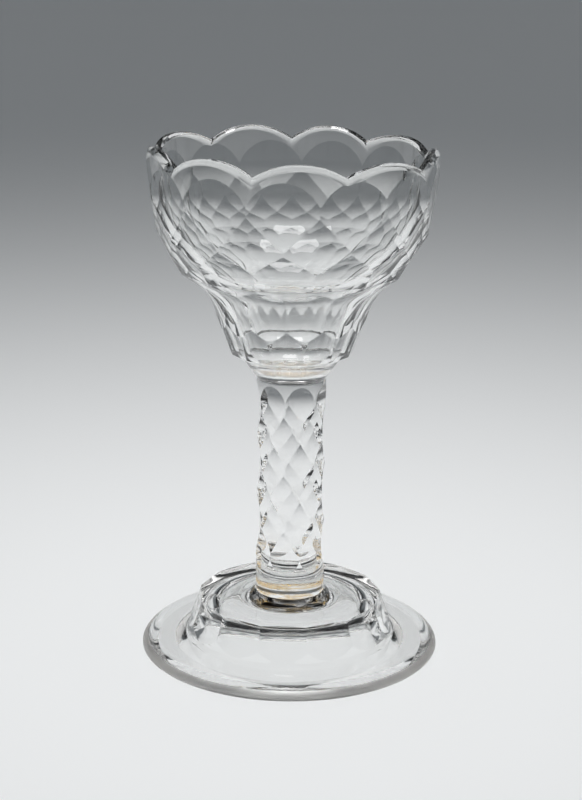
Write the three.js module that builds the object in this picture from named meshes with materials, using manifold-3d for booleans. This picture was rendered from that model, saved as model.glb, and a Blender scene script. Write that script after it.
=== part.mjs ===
// A cut syllabub glass: a scalloped double-ogee bowl, a diamond-cut stem and a domed, cut foot.
// Millimetres, +Z up, origin in the middle of the ring that the foot stands on.
// Azimuths are degrees from -Y, where the front of the bowl faces, counted towards +X.
import * as THREE from 'three';
import Module from 'manifold-3d';
import { mergeVertices } from 'three/addons/utils/BufferGeometryUtils.js';

const wasm = await Module();
wasm.setup();

const point = (radius, height) => new THREE.Vector2(radius, height);

// A point off the straight line from a to b: share is how far along, and swell is how far out to the
// right of the way from a to b, both as shares of the line's length
function between(a, b, share, swell) {
  const line = b.clone().sub(a);
  return a.clone().addScaledVector(line, share).addScaledVector(point(line.y, -line.x), swell);
}

// Three gathers of glass, one on top of the other. Radii and heights are in the piece.
const bowlHeight = 67.8;
const rimRadius = 40.8;
const stemLength = 65;
const stemRadius = 10.1;
const footHeight = 18.6;
const footRadius = 44;
const cutsAround = 13;          // cuts round the bowl and round the foot's dome
const firstCut = -3.7;          // azimuth of the middle of the first cut
const overrun = 1.6;            // how far a cutting wheel runs on past the ends of its cut
const cutWidth = 0.6;           // half a cutter's width, as a share of the angle from cut to cut
const cutterDepth = 0.6;        // share of its width
const turningSteps = 52;        // flats round a turned surface, a whole number to each cut
const weld = 1e-4;              // points closer than this are one point
const clear = 1;                // how far the cavity's cutter stands out over the rim

// Bowl, outside: two swells with a waist between them, over a ledge and a plain base
const bellySwell = 0.3;         // out over the rim
const bellyDrop = 9.3;          // below the rim
const hipInset = 2.2;           // in from the rim
const hipHeight = 43.3;
const keelInset = 6.3;
const keelHeight = 33.8;
const waistRadius = 23.7;
const waistHeight = 23;
const ledgeRadius = 17.7;
const ledgeHeight = 8;
const ledgeStep = 2.4;          // how far the foot of the cuts stands out over the plain base
const ledgeDrop = 0.5;
const rim = point(rimRadius, bowlHeight);
const belly = point(rimRadius + bellySwell, bowlHeight - bellyDrop);
const hip = point(rimRadius - hipInset, hipHeight);
const keel = point(rimRadius - keelInset, keelHeight);
const waist = point(waistRadius, waistHeight);
const ledge = point(ledgeRadius, ledgeHeight);
const bowlFoot = point(stemRadius, 0);
const underLedge = point(ledgeRadius - ledgeStep, ledgeHeight - ledgeDrop);
const bowlOutside = [
  ledge,
  between(ledge, waist, 0.523, -0.009),
  waist,
  between(waist, keel, 0.426, -0.074),
  keel,
  hip,
  between(hip, belly, 0.637, 0.033),
  belly,
  rim,
];
const bowlBase = [
  bowlFoot,
  between(bowlFoot, underLedge, 0.1, -0.02),
  between(bowlFoot, underLedge, 0.47, -0.02),
  underLedge,
];

// Bowl, inside: the cavity has the same two swells
const wall = 2.9;               // at the rim
const cupDrop = 8.3;            // the wall is even from here up to the rim
const cupFloorRadius = 24;
const cupFloorHeight = 30.2;
const wellRadius = 15.6;
const wellHeight = 15.4;
const bowlFloor = 3;
const cavityRadius = rimRadius - wall;
const cavityTop = point(cavityRadius, bowlHeight + clear);
const cup = point(cavityRadius, bowlHeight - cupDrop);
const cupFloor = point(cupFloorRadius, cupFloorHeight);
const well = point(wellRadius, wellHeight);
const wellFloor = point(0, bowlFloor);
const bowlInside = [
  wellFloor,
  between(wellFloor, well, 0.268, 0.187),
  between(wellFloor, well, 0.499, 0.243),
  between(wellFloor, well, 0.728, 0.181),
  well,
  between(well, cupFloor, 0.344, -0.06),
  between(well, cupFloor, 0.649, -0.071),
  cupFloor,
  between(cupFloor, cup, 0.2, 0.076),
  between(cupFloor, cup, 0.429, 0.114),
  between(cupFloor, cup, 0.641, 0.106),
  between(cupFloor, cup, 0.828, 0.068),
  cup,
  cavityTop,
];

// Rim: scallops ground by hand between valleys, and so not quite even. The drops are how far each
// valley, and the crown that follows it, lies below the even height, as shares of the depth.
const valleys = [-52.4, -15.6, 20.8, 60.7, 103, 146.6, 180.6, 218.2, 263];
const valleyDrops = [0, 0, 0.05, 0.2, 0.2, 0.05, 0, 0, 0];
const crownDrops = [0, 0.08, 0.28, 0.2, 0.26, 0.05, 0, 0, 0];
const scallopDepth = 3.9;
const scallopSteps = 12;
const roundDepth = 1.1;         // rounding of the outer edge, measured square to the scallop's edge
const roundHeight = 3.8;
const roundFade = 3;            // power by which it fades out downwards
const roundPast = 0.2;          // how far its cutter runs on past the belly
const roundSteps = 4;
const innerBevelHeight = 0.6;
const innerBevelDepth = 0.5;

// Bowl, rows of cuts: half a cut's shift, the heights of the top and bottom of each cut's middle
// line, whether that end is a tip on the blank or a side where neighbours meet, and the wheel
const archDrop = 4.8;           // from the rim to the tall cuts
const diamondDrop = 13.8;       // and to the row between their lower halves
const underHipFoot = 31.5;      // past the keel
const underKeelFoot = 23;
const waistCutTop = 31.5;       // hollow cuts over the waist
const waistCutFoot = 15.5;
const skirtTop = 19.7;          // the last row, which ends in the ledge
const hugeWheel = 400;
const archWheel = 150;
const largeWheel = 100;
const middleWheel = 40;
const smallWheel = 18;
const bowlRows = [
  { shift: 0, top: bowlHeight - archDrop, bottom: hipHeight, wheel: archWheel },
  { shift: 0.5, top: bowlHeight - diamondDrop, bottom: keelHeight, wheel: hugeWheel },
  { shift: 0, top: hipHeight, bottom: underHipFoot, bottomOnSide: true, wheel: largeWheel },
  { shift: 0, top: keelHeight, bottom: underKeelFoot, topOnSide: true, wheel: middleWheel },
  { shift: 0.5, top: waistCutTop, bottom: waistCutFoot, wheel: smallWheel },
  { shift: 0, top: skirtTop, bottom: ledgeHeight, bottomOnSide: true, wheel: largeWheel },
];
const bowlCutSteps = 4;

// Stem: two sets of diamonds that interlock, one half a diamond further up than the other
const stemCuts = 7;
const stemFirstCut = -9.6;
const stemFlats = 6;            // flats of the blank to each cut
const diamondLength = 17.8;
const diamondTip = 57.3;        // height above the foot of a tip of the first set
const diamondRows = 6;          // half diamonds above and below that tip, some of them left out
const shortestCut = 0.4;        // share of a diamond that is still cut at the ends of the stem
const stemTopBand = 0.6;        // plain glass left above the diamonds
const stemBottomBand = 7.6;     // and below them
const stemCutDepth = 1.2;       // share of the depth at which neighbours in a row would just meet
const stemCutSteps = 5;

// Foot: a rounded edge, a flange and a cut dome, and a hollow under the dome
const edgeHeight = 2.3;         // of the widest place
const flangeRadius = 32.8;      // where the flange meets the dome
const flangeHeight = 5.3;
const domeBaseRadius = 30.4;
const domeBaseHeight = 6.4;
const shoulderRadius = 27.2;
const shoulderHeight = 16.8;
const seam = 0.4;               // how far the top of the dome stands out round the stem
const restOuter = 39;           // the flat ring that the glass stands on
const restInner = 34;
const domeWall = 4.6;           // at the middle of the dome
const ceilingRadius = 21;       // where the hollow's flat ceiling turns down
const ceilingHeight = 13.6;
const domeCutFoot = 7;
const domeWheel = 60;
const restEdge = point(restOuter, 0);
const edge = point(footRadius, edgeHeight);
const flange = point(flangeRadius, flangeHeight);
const domeBase = point(domeBaseRadius, domeBaseHeight);
const shoulder = point(shoulderRadius, shoulderHeight);
const footTop = point(stemRadius + seam, footHeight);
const footOutside = [
  restEdge,
  between(restEdge, edge, 0.603, 0.037),
  edge,
  between(edge, flange, 0.157, 0.119),
  between(edge, flange, 0.427, 0.127),
  flange,
  domeBase,
  between(domeBase, shoulder, 0.428, 0.045),
  between(domeBase, shoulder, 0.765, 0.014),
  shoulder,
  between(shoulder, footTop, 0.308, -0.027),
  between(shoulder, footTop, 0.602, -0.077),
  between(shoulder, footTop, 0.781, -0.084),
  between(shoulder, footTop, 0.904, -0.056),
  footTop,
];
const hollowTop = point(0, footHeight - domeWall);
const ceiling = point(ceilingRadius, ceilingHeight);
const restInside = point(restInner, 0);
const footUnderside = [
  hollowTop,
  between(hollowTop, ceiling, 0.286, -0.005),
  between(hollowTop, ceiling, 0.571, -0.011),
  between(hollowTop, ceiling, 0.762, -0.015),
  ceiling,
  between(ceiling, restInside, 0.225, -0.035),
  between(ceiling, restInside, 0.471, 0.053),
  between(ceiling, restInside, 0.701, 0.082),
  restInside,
];
const domeRow = {
  shift: 0,
  top: shoulderHeight,
  topOnSide: true,
  bottom: domeCutFoot,
  wheel: domeWheel,
};
const domeCutSteps = 5;

// Flats along each of the smooth lines
const outsideSteps = 16;
const insideSteps = 24;
const footSteps = 28;
const undersideSteps = 16;
const baseSteps = 5;

// A smooth line through hand-set points, as many short flats as steps
const curve = (points, steps) => new THREE.SplineCurve(points).getPoints(steps);

function solid(geometry) {
  geometry.deleteAttribute('normal');
  geometry.deleteAttribute('uv');
  const merged = mergeVertices(geometry, weld);
  return new wasm.Manifold(new wasm.Mesh({
    numProp: 3,
    vertProperties: new Float32Array(merged.attributes.position.array),
    triVerts: new Uint32Array(merged.index.array),
  }));
}

// A profile from the axis at the bottom to the axis at the top, turned about +Z
function turned(profile, steps, start) {
  const geometry = new THREE.LatheGeometry(profile, steps);
  geometry.rotateX(Math.PI / 2);
  geometry.rotateZ(THREE.MathUtils.degToRad(start));
  return solid(geometry);
}

function radiusAt(outline, height) {
  const i = outline.findIndex((p, k) => k > 0 && p.y >= height) || 1;
  const low = outline[i - 1];
  const high = outline[i];
  return low.x + ((high.x - low.x) * (height - low.y)) / (high.y - low.y);
}

// The path of a grinding wheel's edge through two points of a cut's middle line, widened to a block
function wheelCut(azimuth, top, bottom, wheel, width, steps) {
  const chord = top.clone().sub(bottom);
  const lean = Math.asin(chord.length() / 2 / wheel);
  const reach = lean + overrun / wheel;
  const out = point(chord.y, -chord.x).normalize();
  const centre = top.clone().add(bottom).multiplyScalar(0.5);
  centre.addScaledVector(out, wheel * Math.cos(lean));
  const inward = Math.atan2(-out.y, -out.x);
  const onWheel = (angle) => point(Math.cos(angle), Math.sin(angle)).multiplyScalar(wheel).add(centre);
  const depth = cutterDepth * width;
  const block = new THREE.Shape();
  for (let i = 0; i <= steps; i += 1) {
    const p = onWheel(inward + reach * ((2 * i) / steps - 1));
    if (i === 0) block.moveTo(p.x, p.y);
    else block.lineTo(p.x, p.y);
  }
  const last = onWheel(inward + reach).addScaledVector(out, depth);
  const first = onWheel(inward - reach).addScaledVector(out, depth);
  block.lineTo(last.x, last.y);
  block.lineTo(first.x, first.y);
  const geometry = new THREE.ExtrudeGeometry(block, { depth: width, bevelEnabled: false });
  geometry.translate(0, 0, -width / 2);
  geometry.rotateX(Math.PI / 2);
  geometry.rotateZ(THREE.MathUtils.degToRad(azimuth - 90));
  return solid(geometry);
}

// One row of equal cuts round a blank whose outline is given
function rowOfCuts(outline, count, first, row, steps) {
  const onSide = Math.cos(Math.PI / count);
  const end = (height, side) => point(radiusAt(outline, height) * (side ? onSide : 1), height);
  const top = end(row.top, row.topOnSide);
  const bottom = end(row.bottom, row.bottomOnSide);
  const width = 2 * Math.max(top.x, bottom.x) * Math.sin((cutWidth * 2 * Math.PI) / count);
  return Array.from({ length: count }, (_, k) => {
    const azimuth = first + ((k + row.shift) * 360) / count;
    return wheelCut(azimuth, top, bottom, row.wheel, width, steps);
  });
}

const cutAway = (blank, cutters) => cutters.reduce((rest, cutter) => rest.subtract(cutter), blank);

// A ring whose section changes from one azimuth to the next; every section has as many points
function ring(azimuths, section) {
  const sections = azimuths.map(section);
  const size = sections[0].length;
  const positions = [];
  const triangles = [];
  azimuths.forEach((azimuth, k) => {
    const angle = THREE.MathUtils.degToRad(azimuth);
    sections[k].forEach((p) => positions.push(p.x * Math.sin(angle), -p.x * Math.cos(angle), p.y));
    const here = k * size;
    const next = ((k + 1) % azimuths.length) * size;
    for (let i = 0; i < size; i += 1) {
      const j = (i + 1) % size;
      triangles.push(here + i, next + i, next + j, here + i, next + j, here + j);
    }
  });
  const geometry = new THREE.BufferGeometry();
  geometry.setAttribute('position', new THREE.Float32BufferAttribute(positions, 3));
  geometry.setIndex(triangles);
  return solid(geometry);
}

// Everything above the scallops' ground edge, as a ring that is cut away from the rim
function rimCutter() {
  const azimuths = [];
  const edges = [];
  valleys.forEach((from, k) => {
    const next = (k + 1) % valleys.length;
    const to = next ? valleys[next] : valleys[0] + 360;
    const half = rimRadius * THREE.MathUtils.degToRad((to - from) / 2);
    const left = bowlHeight - scallopDepth * (1 + valleyDrops[k]);
    const right = bowlHeight - scallopDepth * (1 + valleyDrops[next]);
    const rise = bowlHeight - scallopDepth * crownDrops[k] - (left + right) / 2;
    const radius = (half * half + rise * rise) / (2 * rise);
    for (let i = 0; i < scallopSteps; i += 1) {
      const along = half * ((2 * i) / scallopSteps - 1);
      const level = left + ((right - left) * i) / scallopSteps + rise - radius;
      azimuths.push(from + ((to - from) * i) / scallopSteps);
      edges.push((inset) => level + Math.sqrt(Math.max(0, (radius - inset) ** 2 - along * along)));
    }
  });
  const past = belly.x + roundPast;
  const top = bowlHeight + scallopDepth;
  return ring(azimuths, (azimuth) => {
    const at = edges[azimuths.indexOf(azimuth)];
    const rounded = Array.from({ length: roundSteps + 1 }, (_, i) => {
      const down = i / roundSteps;
      return point(belly.x - roundDepth * (1 - down) ** roundFade, at(roundHeight * down));
    });
    return [
      point(cavityRadius - innerBevelDepth, at(2 * innerBevelHeight)),
      point(cavityRadius + innerBevelDepth, at(0)),
      ...rounded,
      point(past, at(roundHeight + roundPast)),
      point(past, top),
      point(cavityRadius - innerBevelDepth, top),
    ];
  });
}

function bowl() {
  const outside = curve(bowlOutside, outsideSteps);
  const profile = [point(0, 0), ...curve(bowlBase, baseSteps), ...outside, point(0, bowlHeight)];
  const blank = turned(profile, turningSteps, firstCut);
  const cavity = turned([...curve(bowlInside, insideSteps), point(0, cavityTop.y)], turningSteps, firstCut);
  const cuts = bowlRows.flatMap((row) => rowOfCuts(outside, cutsAround, firstCut, row, bowlCutSteps));
  return cutAway(blank, [...cuts, cavity, rimCutter()]);
}

function stem() {
  const outline = [point(stemRadius, 0), point(stemRadius, stemLength)];
  const profile = [point(0, 0), ...outline, point(0, stemLength)];
  const blank = turned(profile, stemFlats * stemCuts, stemFirstCut);
  const depth = stemCutDepth * stemRadius * (1 - Math.cos(Math.PI / stemCuts));
  const cuts = [];
  for (let half = -diamondRows; half <= diamondRows; half += 1) {
    const tip = diamondTip + (half * diamondLength) / 2;
    const row = {
      shift: (half % 2) / 2,
      top: Math.min(tip, stemLength - stemTopBand),
      bottom: Math.max(tip - diamondLength, stemBottomBand),
    };
    const length = row.top - row.bottom;
    if (length > shortestCut * diamondLength) {
      row.wheel = (length * length) / 8 / depth + depth / 2;
      cuts.push(...rowOfCuts(outline, stemCuts, stemFirstCut, row, stemCutSteps));
    }
  }
  return cutAway(blank, cuts);
}

function foot() {
  const outside = curve(footOutside, footSteps);
  const profile = [...curve(footUnderside, undersideSteps), ...outside, point(0, footHeight)];
  const blank = turned(profile, turningSteps, firstCut);
  return cutAway(blank, rowOfCuts(outside, cutsAround, firstCut, domeRow, domeCutSteps));
}

function piece(name, shape, height) {
  const mesh = shape.getMesh();
  const geometry = new THREE.BufferGeometry();
  geometry.setAttribute('position', new THREE.BufferAttribute(mesh.vertProperties, 3));
  geometry.setIndex(new THREE.BufferAttribute(mesh.triVerts, 1));
  const material = new THREE.MeshStandardMaterial({
    color: 0xe4e9ea,
    roughness: 0.04,
    metalness: 0,
    transparent: true,
    opacity: 0.35,
  });
  const made = new THREE.Mesh(geometry, material);
  made.name = name;
  made.position.z = height;
  return made;
}

const glass = new THREE.Group();
glass.add(piece('foot', foot(), 0));
glass.add(piece('stem', stem(), footHeight));
glass.add(piece('bowl', bowl(), footHeight + stemLength));

export default glass;
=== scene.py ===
import math

import bmesh
import bpy
import numpy as np
from mathutils import Matrix, Vector


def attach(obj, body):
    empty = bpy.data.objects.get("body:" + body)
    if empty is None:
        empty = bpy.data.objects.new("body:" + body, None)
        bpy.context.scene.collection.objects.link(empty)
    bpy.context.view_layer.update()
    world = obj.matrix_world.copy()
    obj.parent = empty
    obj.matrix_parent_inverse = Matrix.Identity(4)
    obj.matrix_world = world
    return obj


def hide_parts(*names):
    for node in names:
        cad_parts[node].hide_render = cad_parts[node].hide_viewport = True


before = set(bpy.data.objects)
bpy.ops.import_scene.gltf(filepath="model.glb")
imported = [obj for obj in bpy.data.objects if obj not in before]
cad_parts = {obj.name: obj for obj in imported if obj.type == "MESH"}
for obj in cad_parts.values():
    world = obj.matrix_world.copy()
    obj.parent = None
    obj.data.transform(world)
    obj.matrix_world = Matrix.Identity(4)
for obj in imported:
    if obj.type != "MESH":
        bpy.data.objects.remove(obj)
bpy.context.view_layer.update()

mm = 0.001
scene = bpy.context.scene


# Lines, radii and heights in millimetres

def smoothLine(points, stepsPerSpan):
    # an even spline through given points
    line = []
    last = len(points) - 1
    for i in range(last):
        around = [points[max(i - 1, 0)], points[i], points[i + 1], points[min(i + 2, last)]]
        for k in range(stepsPerSpan):
            t = k / stepsPerSpan
            spot = []
            for a, b, c, d in zip(*around):
                leave = (c - a) / 2
                arrive = (d - b) / 2
                spot.append((2 * b - 2 * c + leave + arrive) * t ** 3
                            + (3 * c - 3 * b - 2 * leave - arrive) * t ** 2 + leave * t + b)
            line.append(tuple(spot))
    line.append(tuple(points[last]))
    return line


def between(a, b, share, swell):
    # off the straight line from a to b, share along it and swell out to its right
    dx, dy = b[0] - a[0], b[1] - a[1]
    return a[0] + dx * share + dy * swell, a[1] + dy * share - dx * swell


def radiusAt(line, height):
    for low, high in zip(line, line[1:]):
        if high[1] >= height:
            return low[0] + (high[0] - low[0]) * (height - low[1]) / (high[1] - low[1])
    return line[-1][0]


def onCircle(radius, angle, height):
    # angles count from the front, towards +X
    return radius * mm * math.sin(angle), -radius * mm * math.cos(angle), height * mm


# Meshes

def newObject(name, corners, faces):
    mesh = bpy.data.meshes.new(name)
    mesh.from_pydata(corners, [], faces)
    mesh.update()
    thing = bpy.data.objects.new(name, mesh)
    scene.collection.objects.link(thing)
    return thing


def turnedBlank(name, profile, steps, start, lift):
    # a closed profile from the axis at the bottom to the axis at the top, turned about +Z
    corners = []
    rings = []
    for radius, height in profile:
        if radius == 0:
            rings.append([len(corners)] * steps)
            corners.append((0, 0, (height + lift) * mm))
            continue
        rings.append(list(range(len(corners), len(corners) + steps)))
        for k in range(steps):
            angle = math.radians(start) + 2 * math.pi * k / steps
            corners.append(onCircle(radius, angle, height + lift))
    faces = []
    for low, high in zip(rings, rings[1:]):
        for k in range(steps):
            n = (k + 1) % steps
            face = [low[k], low[n], high[n], high[k]]
            face = [v for i, v in enumerate(face) if v != face[i - 1]]
            if len(face) > 2:
                faces.append(face)
    return newObject(name, corners, faces)


cutting = {
    "overrun": 1.6,  # how far a wheel runs on past the ends of its cut
    "width": 0.6,  # half a cutter's width, as a share of the angle from cut to cut
    "depth": 0.6,  # of a cutter, as a share of its width
    "step": 1.1, "fewestSteps": 8,
    "crease": 8,  # degrees between faces from which an edge is crisp
    # how near a face has to lie to a wheel's path to be shaded as a part of it
    "onWheel": 0.03, "onSide": 0.01, "likeness": 0.97,
}


def wheelCutter(azimuth, top, bottom, wheel, width, steps, lift):
    # the path of a grinding wheel's edge through two points of a cut's middle line, as a block
    dx, dy = top[0] - bottom[0], top[1] - bottom[1]
    length = math.hypot(dx, dy)
    lean = math.asin(length / 2 / wheel)
    reach = lean + cutting["overrun"] / wheel
    out = dy / length, -dx / length
    centre = [(a + b) / 2 + o * wheel * math.cos(lean) for a, b, o in zip(top, bottom, out)]
    inward = math.atan2(-out[1], -out[0])
    side = []
    for i in range(steps + 1):
        angle = inward + reach * (2 * i / steps - 1)
        side.append((centre[0] + wheel * math.cos(angle), centre[1] + wheel * math.sin(angle)))
    for end in (side[-1], side[0]):
        side.append(tuple(e + o * width * cutting["depth"] for e, o in zip(end, out)))
    turn = math.radians(azimuth)
    ahead = math.sin(turn), -math.cos(turn)
    across = math.cos(turn), math.sin(turn)
    corners = []
    for half in (-width / 2, width / 2):
        for radius, height in side:
            x, y = (radius * a + half * b for a, b in zip(ahead, across))
            corners.append((mm * x, mm * y, mm * (height + lift)))
    n = len(side)
    faces = [list(range(n)), list(range(2 * n - 1, n - 1, -1))]
    for i in range(n):
        j = (i + 1) % n
        faces.append([j, i, n + i, n + j])
    cutter = newObject("cutter", corners, faces)
    facing = bmesh.new()
    facing.from_mesh(cutter.data)
    bmesh.ops.recalc_face_normals(facing, faces=facing.faces)
    facing.to_mesh(cutter.data)
    facing.free()
    shape = {"ahead": ahead, "across": across, "half": width / 2, "wheel": wheel,
             "centre": (centre[0], centre[1] + lift)}
    return cutter, shape


def rowOfCutters(line, count, first, row, lift):
    # a cut ends in a tip on the blank, or where its sides meet its neighbours'
    onSide = math.cos(math.pi / count)
    top, bottom = ((radiusAt(line, row[end]) * (onSide if row.get(end + "OnSide") else 1), row[end])
                   for end in ("top", "bottom"))
    width = 2 * max(top[0], bottom[0]) * math.sin(cutting["width"] * 2 * math.pi / count)
    steps = max(cutting["fewestSteps"], round(math.dist(top, bottom) / cutting["step"]))
    made = []
    for k in range(count):
        azimuth = first + (k + row["shift"]) * 360 / count
        made.append(wheelCutter(azimuth, top, bottom, row["wheel"], width, steps, lift))
    return made


def takeAway(thing, cutters):
    shelf = bpy.data.collections.new("cutters")
    for cutter in cutters:
        shelf.objects.link(cutter)
        scene.collection.objects.unlink(cutter)
    cut = thing.modifiers.new("cut", "BOOLEAN")
    cut.operation = "DIFFERENCE"
    cut.operand_type = "COLLECTION"
    cut.collection = shelf
    cut.solver = "MANIFOLD"
    graph = bpy.context.evaluated_depsgraph_get()
    done = bpy.data.meshes.new_from_object(thing.evaluated_get(graph))
    thing.modifiers.clear()
    old = thing.data
    thing.data = done
    bpy.data.meshes.remove(old)
    for cutter in cutters:
        bpy.data.objects.remove(cutter)
    bpy.data.collections.remove(shelf)


def readOut(items, name, width, kind):
    values = np.empty(len(items) * width, kind)
    items.foreach_get(name, values)
    return values if width == 1 else values.reshape(-1, width)


def polish(thing, shapes):
    # smooth surfaces that meet in crisp ridges; a ground cut takes the curve of its wheel exactly
    mesh = thing.data
    for face in mesh.polygons:
        face.use_smooth = True
    mesh.set_sharp_from_angle(angle=math.radians(cutting["crease"]))
    normals = readOut(mesh.corner_normals, "vector", 3, np.float32)
    where = readOut(mesh.vertices, "co", 3, np.float32).astype(float) / mm
    owner = readOut(mesh.loops, "vertex_index", 1, np.int32)
    start = readOut(mesh.polygons, "loop_start", 1, np.int32)
    facing = readOut(mesh.polygons, "normal", 3, np.float32)
    faceOf = np.zeros(len(owner), np.int32)
    faceOf[start[1:]] = 1
    faceOf = np.cumsum(faceOf)
    sides = np.add.reduceat(np.ones(len(owner)), start)
    best = np.full(len(start), cutting["likeness"])
    for shape in shapes:
        along = where[:, 0] * shape["ahead"][0] + where[:, 1] * shape["ahead"][1]
        aside = where[:, 0] * shape["across"][0] + where[:, 1] * shape["across"][1]
        dr = shape["centre"][0] - along
        dz = shape["centre"][1] - where[:, 2]
        far = np.hypot(dr, dz)
        on = np.abs(far - shape["wheel"]) < cutting["onWheel"]
        on &= np.abs(aside) < shape["half"] + cutting["onSide"]
        whole = np.logical_and.reduceat(on[owner], start)
        if not whole.any():
            continue
        true = np.stack([shape["ahead"][0] * dr / far, shape["ahead"][1] * dr / far, dz / far], 1)
        match = np.add.reduceat((true[owner] * facing[faceOf]).sum(1), start) / sides
        mine = whole & (match > best)
        best[mine] = match[mine]
        pick = mine[faceOf]
        normals[pick] = true[owner[pick]]
    mesh.normals_split_custom_set(normals.tolist())


# Nodes that several materials use

def addNode(tree, kind, operation=None):
    node = tree.nodes.new("ShaderNode" + kind)
    if operation:
        node.operation = operation
    return node


def rampNode(tree, start, full):
    node = addNode(tree, "MapRange")
    node.inputs["From Min"].default_value = start
    node.inputs["From Max"].default_value = full
    return node


def mixNode(tree, one, other):
    node = addNode(tree, "Mix")
    node.data_type = "RGBA"
    node.inputs["A"].default_value = (*one, 1)
    node.inputs["B"].default_value = (*other, 1)
    return node


def awayFromAxis(tree):
    # the place seen from above, and its distance from the middle
    place = addNode(tree, "TexCoord")
    flat = addNode(tree, "VectorMath", "MULTIPLY")
    flat.inputs[1].default_value = (1, 1, 0)
    away = addNode(tree, "VectorMath", "LENGTH")
    tree.links.new(place.outputs["Object"], flat.inputs[0])
    tree.links.new(flat.outputs["Vector"], away.inputs[0])
    return flat, away


def newMaterial(name):
    material = bpy.data.materials.new(name)
    material.use_nodes = True
    return material, material.node_tree, material.node_tree.nodes["Principled BSDF"]


# Glass

glassLook = {
    "colour": (0.985, 0.99, 0.985), "index": 1.56,
    "waviness": {"bowl": 0.05, "stem": 0.03, "foot": 0.06},
    "waveScale": 90, "waveDetail": 2, "waveHeight": 0.0004,
}


def clearGlass(node):
    material, tree, shader = newMaterial(node + " glass")
    shader.inputs["Base Color"].default_value = (*glassLook["colour"], 1)
    shader.inputs["Transmission Weight"].default_value = 1
    shader.inputs["IOR"].default_value = glassLook["index"]
    shader.inputs["Roughness"].default_value = 0
    place = addNode(tree, "TexCoord")
    swirl = addNode(tree, "TexNoise")
    swirl.inputs["Scale"].default_value = glassLook["waveScale"]
    swirl.inputs["Detail"].default_value = glassLook["waveDetail"]
    bump = addNode(tree, "Bump")
    bump.inputs["Strength"].default_value = glassLook["waviness"][node]
    bump.inputs["Distance"].default_value = glassLook["waveHeight"]
    tree.links.new(place.outputs["Object"], swirl.inputs["Vector"])
    tree.links.new(swirl.outputs["Fac"], bump.inputs["Height"])
    tree.links.new(bump.outputs["Normal"], shader.inputs["Normal"])
    return material


def satinEdge(material, satin):
    # the glass turns from polished to finely ground between two radii, and its colour turns a
    # darker grey-brown there
    tree = material.node_tree
    shader = tree.nodes["Principled BSDF"]
    away = awayFromAxis(tree)[1]
    ground = rampNode(tree, satin["from"] * mm, satin["full"] * mm)
    rough = addNode(tree, "Math", "MULTIPLY")
    rough.inputs[1].default_value = satin["roughness"]
    shade = mixNode(tree, glassLook["colour"], satin["colour"])
    tree.links.new(away.outputs["Value"], ground.inputs["Value"])
    tree.links.new(ground.outputs["Result"], rough.inputs[0])
    tree.links.new(rough.outputs["Value"], shader.inputs["Roughness"])
    tree.links.new(ground.outputs["Result"], shade.inputs["Factor"])
    tree.links.new(shade.outputs["Result"], shader.inputs["Base Color"])


def jointGlass(name, stain):
    # a hot joint can't be seen in the glass, but for an amber stain in patches
    material, tree, shader = newMaterial(name)
    tree.nodes.remove(shader)
    clear = addNode(tree, "BsdfTransparent")
    tree.links.new(clear.outputs["BSDF"], tree.nodes["Material Output"].inputs["Surface"])
    if stain:
        place = addNode(tree, "TexCoord")
        patches = addNode(tree, "TexNoise")
        patches.inputs["Scale"].default_value = stain["scale"]
        patches.inputs["Detail"].default_value = stain["detail"]
        spread = rampNode(tree, stain["from"], stain["full"])
        tint = mixNode(tree, (1, 1, 1), stain["colour"])
        tree.links.new(place.outputs["Object"], patches.inputs["Vector"])
        tree.links.new(patches.outputs["Fac"], spread.inputs["Value"])
        tree.links.new(spread.outputs["Result"], tint.inputs["Factor"])
        tree.links.new(tint.outputs["Result"], clear.inputs["Color"])
    return material


# Sizes that the pieces share

gather = {
    "bowlHeight": 67.8, "rimRadius": 40.8, "stemLength": 65, "stemRadius": 10.1, "footHeight": 18.6,
    "cutsAround": 13, "firstCut": -3.7, "steps": 208, "outsideSteps": 6, "insideSteps": 8,
}
stemRadius, footHeight = gather["stemRadius"], gather["footHeight"]
bowlLift = footHeight + gather["stemLength"]
cuts = gather["cutsAround"], gather["firstCut"]
jointSearch = {"offLevel": 0.02, "pastStem": 0.1, "upright": 0.999}


def jointFaces(thing, heights, slot):
    # the flat faces where the gathers were joined hot
    reach = (stemRadius + jointSearch["pastStem"]) * mm
    for face in thing.data.polygons:
        level = any(abs(face.center.z - h * mm) < jointSearch["offLevel"] * mm for h in heights)
        near = math.hypot(face.center.x, face.center.y) < reach
        if abs(face.normal.z) > jointSearch["upright"] and level and near:
            face.material_index = slot


# Camera: the photograph's viewing angle, a little rolled

view = {
    "place": (-0.00006, -0.5073, 0.2231), "down": 16.1, "roll": 0.465,
    "lens": 81.9, "sensor": 36, "nearest": 0.01,
}
camera = bpy.data.objects.new("camera", bpy.data.cameras.new("camera"))
camera.data.sensor_fit = "VERTICAL"
camera.data.sensor_height = view["sensor"]
camera.data.sensor_width = view["sensor"]
camera.data.lens = view["lens"]
camera.data.clip_start = view["nearest"]
pitch = Matrix.Rotation(math.radians(90 - view["down"]), 3, "X")
camera.rotation_euler = (pitch @ Matrix.Rotation(math.radians(view["roll"]), 3, "Z")).to_euler()
camera.location = view["place"]
scene.collection.objects.link(camera)
scene.camera = camera

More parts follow.
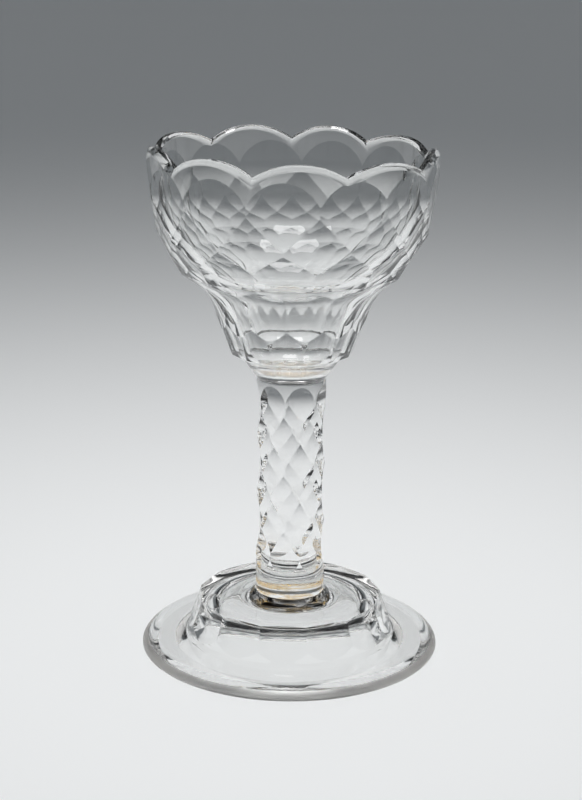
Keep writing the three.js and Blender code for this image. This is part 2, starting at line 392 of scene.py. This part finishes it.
print("bowl")
bowl = {
    "belly": (41.1, 58.5), "hip": (38.6, 43.3), "keel": (34.5, 33.8), "waist": (23.7, 23),
    "ledge": (17.7, 8), "underLedge": (15.3, 7.5),
    "cavity": [(0, 3), (6.5, 3.4), (10.8, 5.4), (13.6, 9.2), (15.6, 15.4), (17.6, 21), (20, 25.6),
               (24, 30.2), (29, 35), (33.3, 41.2), (36, 47.5), (37.5, 53.5), (37.9, 59.5)],
    # how far along the line between two of these points it bows, and by how much
    "waistBow": (0.523, -0.009), "keelBow": (0.426, -0.074), "bellyBow": (0.637, 0.033),
    "baseBows": [(0.1, -0.02), (0.47, -0.02)],
    "wall": 2.9, "clear": 1,
    "valleys": [-52.4, -15.6, 20.8, 60.7, 103, 146.6, 180.6, 218.2, 263],
    # how far each valley, and the crown after it, lies below the even height, in scallop depths
    "valleyDrops": [0, 0, 0.05, 0.2, 0.2, 0.05, 0, 0, 0],
    "crownDrops": [0, 0.08, 0.28, 0.2, 0.26, 0.05, 0, 0, 0],
    "scallopDepth": 3.9, "scallopSteps": 28,
    "roundDepth": 1.1, "roundHeight": 3.8, "roundFade": 3, "roundSteps": 12, "roundCrowding": 1.5,
    "roundPast": 0.2, "bevelDepth": 0.5, "bevelHeight": 0.6, "above": 3,
}
ledge, waist, keel, hip, belly = (bowl[k] for k in ("ledge", "waist", "keel", "hip", "belly"))
underLedge = bowl["underLedge"]
rim = gather["rimRadius"], gather["bowlHeight"]
bowlFoot = stemRadius, 0
outside = smoothLine([
    ledge, between(ledge, waist, *bowl["waistBow"]), waist, between(waist, keel, *bowl["keelBow"]),
    keel, hip, between(hip, belly, *bowl["bellyBow"]), belly, rim], gather["outsideSteps"])
baseBows = [between(bowlFoot, underLedge, *bow) for bow in bowl["baseBows"]]
plainBase = smoothLine([bowlFoot] + baseBows + [underLedge], gather["outsideSteps"])
innerRadius = rim[0] - bowl["wall"]
cavityTop = rim[1] + bowl["clear"]
inside = smoothLine(bowl["cavity"] + [(innerRadius, cavityTop)], gather["insideSteps"])


def rimCutter():
    # everything above the scallops' ground edge, as a ring
    rings = []
    depth, drops, valleys = bowl["scallopDepth"], bowl["valleyDrops"], bowl["valleys"]
    count = len(valleys)
    for k, start in enumerate(valleys):
        end = valleys[k + 1] if k + 1 < count else valleys[0] + 360
        half = rim[0] * math.radians((end - start) / 2)
        left, right = (rim[1] - depth * (1 + drops[n % count]) for n in (k, k + 1))
        rise = rim[1] - depth * bowl["crownDrops"][k] - (left + right) / 2
        radius = (half * half + rise * rise) / (2 * rise)
        for i in range(bowl["scallopSteps"]):
            share = i / bowl["scallopSteps"]
            along = half * (2 * share - 1)
            level = left + (right - left) * share - radius + rise

            def at(inset):
                return level + math.sqrt(max(0, (radius - inset) ** 2 - along * along))

            bevelIn, bevelOut = innerRadius - bowl["bevelDepth"], innerRadius + bowl["bevelDepth"]
            section = [(bevelIn, at(2 * bowl["bevelHeight"])), (bevelOut, at(0))]
            for j in range(bowl["roundSteps"] + 1):
                down = (j / bowl["roundSteps"]) ** bowl["roundCrowding"]
                inward = bowl["roundDepth"] * (1 - down) ** bowl["roundFade"]
                section.append((belly[0] - inward, at(bowl["roundHeight"] * down)))
            past = belly[0] + bowl["roundPast"]
            top = rim[1] + bowl["above"]
            section.append((past, at(bowl["roundHeight"] + bowl["roundPast"])))
            section += [(past, top), (bevelIn, top)]
            angle = math.radians(start + (end - start) * share)
            rings.append([onCircle(r, angle, z + bowlLift) for r, z in section])
    corners = [c for ringPoints in rings for c in ringPoints]
    faces = []
    n = len(rings[0])
    for k in range(len(rings)):
        here, there = k * n, (k + 1) % len(rings) * n
        for i in range(n):
            j = (i + 1) % n
            faces.append([here + i, there + i, there + j, here + j])
    return newObject("cutter", corners, faces)


# Each row: half a cut's shift, the heights of the ends of its cuts, and the wheel
bowlRows = [
    {"shift": 0, "top": 63, "bottom": hip[1], "wheel": 150},
    {"shift": 0.5, "top": 54, "bottom": keel[1], "wheel": 400},
    {"shift": 0, "top": hip[1], "bottom": 31.5, "bottomOnSide": True, "wheel": 100},
    {"shift": 0, "top": keel[1], "bottom": 23, "topOnSide": True, "wheel": 40},
    {"shift": 0.5, "top": 31.5, "bottom": 15.5, "wheel": 18},
    {"shift": 0, "top": 19.7, "bottom": ledge[1], "bottomOnSide": True, "wheel": 100},
]
bowlGlass = turnedBlank("bowl-glass", [(0, 0)] + plainBase + outside + [(0, rim[1])],
                        gather["steps"], gather["firstCut"], bowlLift)
cavity = turnedBlank("cavity", inside + [(0, cavityTop)],
                     gather["steps"], gather["firstCut"], bowlLift)
made = [c for row in bowlRows for c in rowOfCutters(outside, *cuts, row, bowlLift)]
takeAway(bowlGlass, [c for c, shape in made])
takeAway(bowlGlass, [cavity])
takeAway(bowlGlass, [rimCutter()])
polish(bowlGlass, [shape for c, shape in made])

print("stem")
stem = {
    "cuts": 7, "firstCut": -9.6, "stepsToACut": 30, "cutDepth": 1.2,
    "length": 17.8, "tip": 57.3, "halfRows": 6, "shortest": 0.4, "topBand": 0.6, "bottomBand": 7.6,
    "stain": {"scale": 220, "detail": 3, "from": 0.42, "full": 0.54, "colour": (0.72, 0.45, 0.1)},
}
stemLine = [(stemRadius, 0), (stemRadius, gather["stemLength"])]
stemGlass = turnedBlank("stem-glass", [(0, 0)] + stemLine + [(0, gather["stemLength"])],
                        stem["stepsToACut"] * stem["cuts"], stem["firstCut"], footHeight)
depth = stem["cutDepth"] * stemRadius * (1 - math.cos(math.pi / stem["cuts"]))
made = []
for half in range(-stem["halfRows"], stem["halfRows"] + 1):
    tip = stem["tip"] + half * stem["length"] / 2
    row = {"shift": (half % 2) / 2, "top": min(tip, gather["stemLength"] - stem["topBand"]),
           "bottom": max(tip - stem["length"], stem["bottomBand"])}
    length = row["top"] - row["bottom"]
    if length > stem["shortest"] * stem["length"]:
        row["wheel"] = length * length / 8 / depth + depth / 2
        made += rowOfCutters(stemLine, stem["cuts"], stem["firstCut"], row, footHeight)
takeAway(stemGlass, [c for c, shape in made])
polish(stemGlass, [shape for c, shape in made])

print("foot")
foot = {
    "restEdge": (39, 0), "edge": (44, 2.3), "flange": (32.8, 5.3), "domeBase": (30.4, 6.4),
    "shoulder": (27.2, 16.8), "plateau": [(22, 16.9), (17, 16.6), (14, 16.8), (12, 17.5)],
    "edgeBow": (0.603, 0.037), "flangeBows": [(0.157, 0.119), (0.427, 0.127)],
    "domeBows": [(0.428, 0.045), (0.765, 0.014)],
    "seamOut": 0.4, "seamDown": 0.12, "cutFoot": 7, "wheel": 60,
    "hollow": [(0, 14), (6, 14), (12, 14), (16, 14), (21, 13.6), (24.4, 11), (26.4, 6.5), (29, 3),
               (34, 0)],
    "satin": {"from": 41.8, "full": 42.6, "roughness": 0.4, "colour": (0.66, 0.64, 0.61)},
}
restEdge, edge, flange, domeBase, shoulder = (
    foot[k] for k in ("restEdge", "edge", "flange", "domeBase", "shoulder"))
footTop = stemRadius + foot["seamOut"], footHeight - foot["seamDown"]
flangeBows = [between(edge, flange, *bow) for bow in foot["flangeBows"]]
domeBows = [between(domeBase, shoulder, *bow) for bow in foot["domeBows"]]
footOutside = smoothLine(
    [restEdge, between(restEdge, edge, *foot["edgeBow"]), edge] + flangeBows + [flange, domeBase]
    + domeBows + [shoulder] + foot["plateau"] + [footTop], gather["outsideSteps"])
underside = smoothLine(foot["hollow"], gather["insideSteps"])
footSeam = [(stemRadius, footHeight), (0, footHeight)]
footGlass = turnedBlank("foot-glass", underside + footOutside + footSeam,
                        gather["steps"], gather["firstCut"], 0)
domeRow = {"shift": 0, "top": shoulder[1], "topOnSide": True, "bottom": foot["cutFoot"],
           "wheel": foot["wheel"]}
made = rowOfCutters(footOutside, *cuts, domeRow, 0)
takeAway(footGlass, [c for c, shape in made])
polish(footGlass, [shape for c, shape in made])

print("glass")
joint = jointGlass("hot joint", None)
stainedJoint = jointGlass("stained joint", stem["stain"])
for thing, node in ((bowlGlass, "bowl"), (stemGlass, "stem"), (footGlass, "foot")):
    thing.data.materials.clear()
    thing.data.materials.append(clearGlass(node))
    thing.data.materials.append(joint)
    jointFaces(thing, (footHeight, bowlLift), 1)
    if node == "stem":
        thing.data.materials.append(stainedJoint)
        jointFaces(thing, (footHeight,), 2)
    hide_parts(node)
    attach(thing, "root")
    if node == "foot":
        satinEdge(thing.data.materials[0], foot["satin"])
    thing.visible_shadow = False  # the lamp's light falls straight through clear glass
    print(node, len(thing.data.polygons), "faces")

print("stage")
stage = {
    "radius": 1.25, "curve": 0.6, "height": 0.65, "inner": (0.6, 0.25),
    "curveSteps": 12, "around": 96,
    "floor": -0.00015,  # just under the foot
    "colour": (0.8, 0.805, 0.805), "glow": (0.066, 0.074, 0.08), "roughness": 0.9,
    # painted shade: its colour and glow turn dark towards the camera's side, past these distances
    # and degrees from straight behind, standing in for the unlit room
    "paintedShade": (0.02, 0.02, 0.02), "paintedShadeFrom": (0.6, 60), "paintedShadeFull": (1, 75),
}


def sweepMaterial():
    material, tree, shader = newMaterial("pale sweep")
    shader.inputs["Roughness"].default_value = stage["roughness"]
    shader.inputs["Emission Strength"].default_value = 1
    flat, away = awayFromAxis(tree)
    facing = addNode(tree, "VectorMath", "NORMALIZE")
    split = addNode(tree, "SeparateXYZ")
    # the mask of the painted shade: far from the middle and away from straight behind
    far = rampNode(tree, stage["paintedShadeFrom"][0], stage["paintedShadeFull"][0])
    aside = rampNode(tree, *(math.cos(math.radians(stage[k][1])) for k in ("paintedShadeFrom", "paintedShadeFull")))
    paintedShadeMask = addNode(tree, "Math", "MULTIPLY")
    tree.links.new(flat.outputs["Vector"], facing.inputs[0])
    tree.links.new(facing.outputs["Vector"], split.inputs["Vector"])
    tree.links.new(away.outputs["Value"], far.inputs["Value"])
    tree.links.new(split.outputs["Y"], aside.inputs["Value"])
    tree.links.new(far.outputs["Result"], paintedShadeMask.inputs[0])
    tree.links.new(aside.outputs["Result"], paintedShadeMask.inputs[1])
    # the pale colour and the glow give way to painted shade towards the camera's side
    for name, light, paintedShade in (("Base Color", stage["colour"], stage["paintedShade"]),
                              ("Emission Color", stage["glow"], (0, 0, 0))):
        shade = mixNode(tree, light, paintedShade)
        tree.links.new(paintedShadeMask.outputs["Value"], shade.inputs["Factor"])
        tree.links.new(shade.outputs["Result"], shader.inputs[name])
    return material


def sweepMesh():
    # a round floor whose edge curves up into a wall
    radius, curve, around = stage["radius"], stage["curve"], stage["around"]
    profile = [(radius + curve, stage["height"])]
    for k in range(stage["curveSteps"] + 1):
        angle = math.pi / 2 * k / stage["curveSteps"]
        profile.append((radius + curve * math.cos(angle), curve * (1 - math.sin(angle))))
    profile += [(r, 0) for r in stage["inner"]]
    corners = [(0, 0, stage["floor"])]
    for r, z in profile:
        for k in range(around):
            turn = 2 * math.pi * k / around
            corners.append((r * math.sin(turn), -r * math.cos(turn), z + stage["floor"]))
    faces = []
    for i in range(len(profile) - 1):
        ring = 1 + i * around
        for k in range(around):
            n = (k + 1) % around
            faces.append([ring + k, ring + around + k, ring + around + n, ring + n])
    last = 1 + (len(profile) - 1) * around
    faces += [[0, last + (k + 1) % around, last + k] for k in range(around)]
    return newObject("sweep", corners, faces)


floor = sweepMesh()
floor.data.materials.append(sweepMaterial())
for face in floor.data.polygons:
    face.use_smooth = True

lights = {
    "size": 0.3, "place": (0, 0, 0.62), "aim": (0, 0, 0.08), "power": 3.65,
    # the room's colour by degrees above the horizon
    "room": [(15, (0.19, 0.2, 0.21)), (22, (0.004, 0.004, 0.005)), (62, (0.004, 0.004, 0.005)),
             (68, (0.3, 0.3, 0.3))],
}
soft = bpy.data.lights.new("overhead", "AREA")
soft.shape = "SQUARE"
soft.size = lights["size"]
soft.energy = lights["power"]
overhead = bpy.data.objects.new("overhead", soft)
overhead.location = lights["place"]
aim = Vector(lights["aim"]) - overhead.location
overhead.rotation_euler = aim.to_track_quat("-Z", "Y").to_euler()
overhead.visible_camera = False
overhead.visible_transmission = False
scene.collection.objects.link(overhead)


def studio():
    # grey walls under a dark ceiling with a pale screen in it
    world = bpy.data.worlds.new("studio")
    world.use_nodes = True
    tree = world.node_tree
    place = addNode(tree, "TexCoord")
    split = addNode(tree, "SeparateXYZ")
    ramp = addNode(tree, "ValToRGB")
    stops = ramp.color_ramp.elements
    while len(stops) < len(lights["room"]):
        stops.new(1)
    for stop, (elevation, colour) in zip(stops, lights["room"]):
        stop.position = math.sin(math.radians(elevation))
        stop.color = (*colour, 1)
    tree.links.new(place.outputs["Generated"], split.inputs["Vector"])
    tree.links.new(split.outputs["Z"], ramp.inputs["Fac"])
    tree.links.new(ramp.outputs["Color"], tree.nodes["Background"].inputs["Color"])
    return world


scene.world = studio()

scene.view_settings.view_transform = "Standard"
scene.cycles.use_denoising = True
scene.cycles.max_bounces = 32
scene.cycles.transmission_bounces = 32
scene.cycles.glossy_bounces = 16
scene.cycles.sample_clamp_indirect = 6
scene.cycles.blur_glossy = 0.2
scene.cycles.caustics_refractive = False
